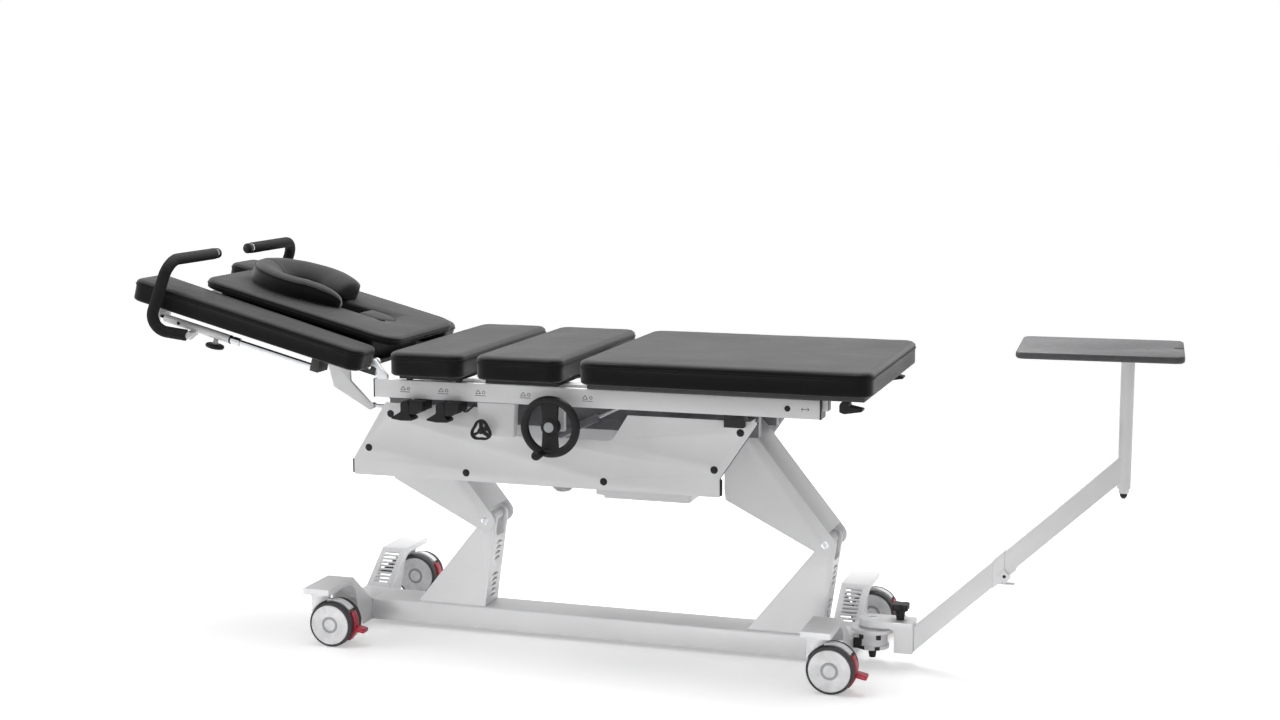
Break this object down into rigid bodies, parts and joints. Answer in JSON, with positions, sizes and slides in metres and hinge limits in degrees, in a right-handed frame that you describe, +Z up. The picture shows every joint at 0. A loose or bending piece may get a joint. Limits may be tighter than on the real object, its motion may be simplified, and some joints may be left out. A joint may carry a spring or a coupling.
{
  "type": "traction treatment table",
  "caption": "Wheeled treatment table with a parallelogram lift, a hinged head section with a face opening, a sliding lower section and a swinging traction arm.",
  "frame": {"origin": "middle of the footprint, on the floor", "axes": "+X towards the foot end and the traction arm, +Y away from the handwheel side, +Z up"},
  "size_m": [2.809, 0.7468, 1.0747],
  "materials": {
    "white_coat": "smooth satin powder coat",
    "black_vinyl": "black upholstery vinyl, fine grain, semi-gloss",
    "black_plastic": "black moulded nylon, satin",
    "grip_sleeve": "black soft sleeve",
    "castor_wheel": "light grey discs with a dark grey tread",
    "red_pedal": "red moulded plastic",
    "polished_rod": "polished",
    "grey_tube": "grey coated",
    "board": "black faced plywood",
    "tray_grey": "dark grey moulded board, fine texture"
  },
  "bodies": {
    "base": {"spine_beam": "white_coat", "outrigger_left": "white_coat", "outrigger_right": "white_coat", "post_left": "white_coat", "post_right": "white_coat", "index_hub": "white_coat"},
    "link_left": {"link_left": "white_coat"},
    "link_right": {"link_right": "white_coat"},
    "lift": {"lift_frame": "white_coat", "side_panel_near": "white_coat", "side_panel_far": "white_coat", "control_box": "white_coat", "lift_motor": "grey_tube"},
    "top": {"top_frame": "white_coat", "thoracic_cushion": "black_vinyl", "gear_housing": "white_coat", "lever_housing_1": "black_plastic", "lever_housing_2": "black_plastic", "release_cable": "grip_sleeve", "head_spring_tube": "grey_tube"},
    "handwheel": {"handwheel": "black_plastic"},
    "crank_handle": {"crank_handle": "black_plastic"},
    "lock_knob": {"lock_knob": "black_plastic"},
    "paddle_1": {"paddle_1": "black_plastic"},
    "paddle_2": {"paddle_2": "black_plastic"},
    "strut_tube": {"strut_tube": "grey_tube"},
    "strut_rod": {"strut_rod": "polished_rod"},
    "carriage": {"carriage_frame": "white_coat", "lumbar_cushion": "black_vinyl"},
    "leg": {"leg_board": "board", "leg_cushion": "black_vinyl"},
    "foot_lever_near": {"foot_lever_near": "black_plastic"},
    "foot_lever_far": {"foot_lever_far": "black_plastic"},
    "head": {"head_frame": "white_coat", "bolster_near": "black_vinyl", "bolster_far": "black_vinyl", "head_cushion": "black_vinyl", "tongue_pad": "black_vinyl", "face_pillow": "black_vinyl"},
    "head_spring_rod": {"head_spring_rod": "polished_rod"},
    "grip_near": {"grip_near": "grip_sleeve"},
    "grip_far": {"grip_far": "grip_sleeve"},
    "clamp_knob_near": {"clamp_knob_near": "black_plastic"},
    "clamp_knob_far": {"clamp_knob_far": "black_plastic"},
    "arm": {"swivel_bracket": "white_coat", "traction_arm": "white_coat", "tray": "tray_grey"},
    "plunger_knob": {"plunger_knob": "black_plastic"},
    "castor_left_near_swivel": {"castor_left_near_fork": "white_coat"},
    "castor_left_near_wheels": {"castor_left_near_wheels": "castor_wheel"},
    "castor_left_near_pedal": {"castor_left_near_pedal": "red_pedal"},
    "castor_left_far_swivel": {"castor_left_far_fork": "white_coat"},
    "castor_left_far_wheels": {"castor_left_far_wheels": "castor_wheel"},
    "castor_left_far_pedal": {"castor_left_far_pedal": "red_pedal"},
    "castor_right_near_swivel": {"castor_right_near_fork": "white_coat"},
    "castor_right_near_wheels": {"castor_right_near_wheels": "castor_wheel"},
    "castor_right_near_pedal": {"castor_right_near_pedal": "red_pedal"},
    "castor_right_far_swivel": {"castor_right_far_fork": "white_coat"},
    "castor_right_far_wheels": {"castor_right_far_wheels": "castor_wheel"},
    "castor_right_far_pedal": {"castor_right_far_pedal": "red_pedal"}
  },
  "joints": [
    {"name": "castor_left_near_turn", "type": "hinge", "parent": "base", "child": "castor_left_near_swivel", "pos_m": [-0.86651, -0.28291, 0.1], "axis": [0, 0, 1], "continuous": true},
    {"name": "castor_left_near_roll", "type": "hinge", "parent": "castor_left_near_swivel", "child": "castor_left_near_wheels", "pos_m": [-0.82351, -0.28291, 0.0625], "axis": [0, 1, 0], "continuous": true},
    {"name": "castor_left_near_brake", "type": "hinge", "parent": "castor_left_near_swivel", "child": "castor_left_near_pedal", "pos_m": [-0.82351, -0.28291, 0.0625], "axis": [0, 1, 0], "range_deg": [0, 8]},
    {"name": "castor_left_far_turn", "type": "hinge", "parent": "base", "child": "castor_left_far_swivel", "pos_m": [-0.86651, 0.28309, 0.1], "axis": [0, 0, 1], "continuous": true},
    {"name": "castor_left_far_roll", "type": "hinge", "parent": "castor_left_far_swivel", "child": "castor_left_far_wheels", "pos_m": [-0.82351, 0.28309, 0.0625], "axis": [0, 1, 0], "continuous": true},
    {"name": "castor_left_far_brake", "type": "hinge", "parent": "castor_left_far_swivel", "child": "castor_left_far_pedal", "pos_m": [-0.82351, 0.28309, 0.0625], "axis": [0, 1, 0], "range_deg": [0, 8]},
    {"name": "castor_right_near_turn", "type": "hinge", "parent": "base", "child": "castor_right_near_swivel", "pos_m": [0.53149, -0.28291, 0.1], "axis": [0, 0, 1], "continuous": true},
    {"name": "castor_right_near_roll", "type": "hinge", "parent": "castor_right_near_swivel", "child": "castor_right_near_wheels", "pos_m": [0.57449, -0.28291, 0.0625], "axis": [0, 1, 0], "continuous": true},
    {"name": "castor_right_near_brake", "type": "hinge", "parent": "castor_right_near_swivel", "child": "castor_right_near_pedal", "pos_m": [0.57449, -0.28291, 0.0625], "axis": [0, 1, 0], "range_deg": [0, 8]},
    {"name": "castor_right_far_turn", "type": "hinge", "parent": "base", "child": "castor_right_far_swivel", "pos_m": [0.53149, 0.28309, 0.1], "axis": [0, 0, 1], "continuous": true},
    {"name": "castor_right_far_roll", "type": "hinge", "parent": "castor_right_far_swivel", "child": "castor_right_far_wheels", "pos_m": [0.57449, 0.28309, 0.0625], "axis": [0, 1, 0], "continuous": true},
    {"name": "castor_right_far_brake", "type": "hinge", "parent": "castor_right_far_swivel", "child": "castor_right_far_pedal", "pos_m": [0.57449, 0.28309, 0.0625], "axis": [0, 1, 0], "range_deg": [0, 8]},
    {"name": "lift_left", "type": "hinge", "parent": "base", "child": "link_left", "pos_m": [-0.46301, 0.00009, 0.327], "axis": [0, 1, 0], "range_deg": [-41, 24]},
    {"name": "lift_right", "type": "hinge", "parent": "base", "child": "link_right", "pos_m": [0.50599, 0.00009, 0.327], "axis": [0, 1, 0], "range_deg": [-41, 24]},
    {"name": "lift_level", "type": "hinge", "parent": "link_left", "child": "lift", "pos_m": [-0.70845, 0.00009, 0.63009], "axis": [0, 1, 0], "range_deg": [-24, 41]},
    {"name": "tilt", "type": "hinge", "parent": "lift", "child": "top", "pos_m": [-0.64451, 0.00009, 0.676], "axis": [0, -1, 0], "range_deg": [0, 8]},
    {"name": "strut_swing", "type": "hinge", "parent": "lift", "child": "strut_tube", "pos_m": [-0.22451, -0.13991, 0.59], "axis": [0, -1, 0], "range_deg": [0, 18]},
    {"name": "strut_stroke", "type": "slide", "parent": "strut_tube", "child": "strut_rod", "axis": [0.8998, 0, 0.4364], "range_m": [0, 0.0445]},
    {"name": "handwheel_turn", "type": "hinge", "parent": "top", "child": "handwheel", "pos_m": [-0.17651, -0.30991, 0.6485], "axis": [0, 1, 0], "continuous": true},
    {"name": "crank_spin", "type": "hinge", "parent": "handwheel", "child": "crank_handle", "pos_m": [-0.19608, -0.30991, 0.58025], "axis": [0, 1, 0], "continuous": true},
    {"name": "lock_turn", "type": "hinge", "parent": "top", "child": "lock_knob", "pos_m": [-0.37551, -0.29991, 0.6255], "axis": [0, 1, 0], "range_deg": [0, 270]},
    {"name": "paddle_1_press", "type": "hinge", "parent": "top", "child": "paddle_1", "pos_m": [-0.59351, -0.30591, 0.6835], "axis": [0, 1, 0], "range_deg": [0, 12], "stiffness_Nm_per_rad": 1},
    {"name": "paddle_2_press", "type": "hinge", "parent": "top", "child": "paddle_2", "pos_m": [-0.49051, -0.30591, 0.6835], "axis": [0, 1, 0], "range_deg": [0, 12], "stiffness_Nm_per_rad": 1},
    {"name": "carriage_slide", "type": "slide", "parent": "top", "child": "carriage", "axis": [1, 0, 0], "range_m": [0, 0.15]},
    {"name": "leg_raise", "type": "hinge", "parent": "carriage", "child": "leg", "pos_m": [-0.08951, 0.00009, 0.747], "axis": [0, -1, 0], "range_deg": [0, 25]},
    {"name": "foot_lever_near_press", "type": "hinge", "parent": "leg", "child": "foot_lever_near", "pos_m": [0.60049, -0.28991, 0.7407], "axis": [0, -1, 0], "range_deg": [0, 10], "stiffness_Nm_per_rad": 0.6},
    {"name": "foot_lever_far_press", "type": "hinge", "parent": "leg", "child": "foot_lever_far", "pos_m": [0.60049, 0.29009, 0.7407], "axis": [0, -1, 0], "range_deg": [0, 10], "stiffness_Nm_per_rad": 0.6},
    {"name": "head_turn", "type": "hinge", "parent": "top", "child": "head", "pos_m": [-0.69951, 0.00009, 0.79], "axis": [0, 1, 0], "range_deg": [-39.5, 10]},
    {"name": "head_spring_stroke", "type": "slide", "parent": "top", "child": "head_spring_rod", "axis": [-1, 0, 0], "range_m": [-0.0925, 0.0245]},
    {"name": "grip_near_slide", "type": "slide", "parent": "head", "child": "grip_near", "axis": [0.9681, 0, -0.2504], "range_m": [0, 0.06]},
    {"name": "clamp_near_turn", "type": "hinge", "parent": "grip_near", "child": "clamp_knob_near", "pos_m": [-1.16471, -0.29991, 0.82044], "axis": [0.2504, 0, 0.9681], "range_deg": [0, 270]},
    {"name": "grip_far_slide", "type": "slide", "parent": "head", "child": "grip_far", "axis": [0.9681, 0, -0.2504], "range_m": [0, 0.06]},
    {"name": "clamp_far_turn", "type": "hinge", "parent": "grip_far", "child": "clamp_knob_far", "pos_m": [-1.16471, 0.30009, 0.82044], "axis": [0.2504, 0, 0.9681], "range_deg": [0, 270]},
    {"name": "arm_swing", "type": "hinge", "parent": "base", "child": "arm", "pos_m": [0.62409, 0.00009, 0.103], "axis": [0, 0, 1], "range_deg": [-80, 80]},
    {"name": "plunger_pull", "type": "slide", "parent": "arm", "child": "plunger_knob", "axis": [0, 0, 1], "range_m": [0, 0.01], "stiffness_N_per_m": 300, "springref_m": -0.005}
  ],
  "couplings": [
    {"joint": "lift_right", "follows": "lift_left", "ratio": 1},
    {"joint": "lift_level", "follows": "lift_left", "ratio": -1},
    {"joint": "strut_swing", "follows": "tilt", "ratio": 2.214},
    {"joint": "strut_stroke", "follows": "tilt", "m_per_rad": 0.311},
    {"joint": "head_spring_stroke", "follows": "head_turn", "m_per_rad": 0.132}
  ]
}
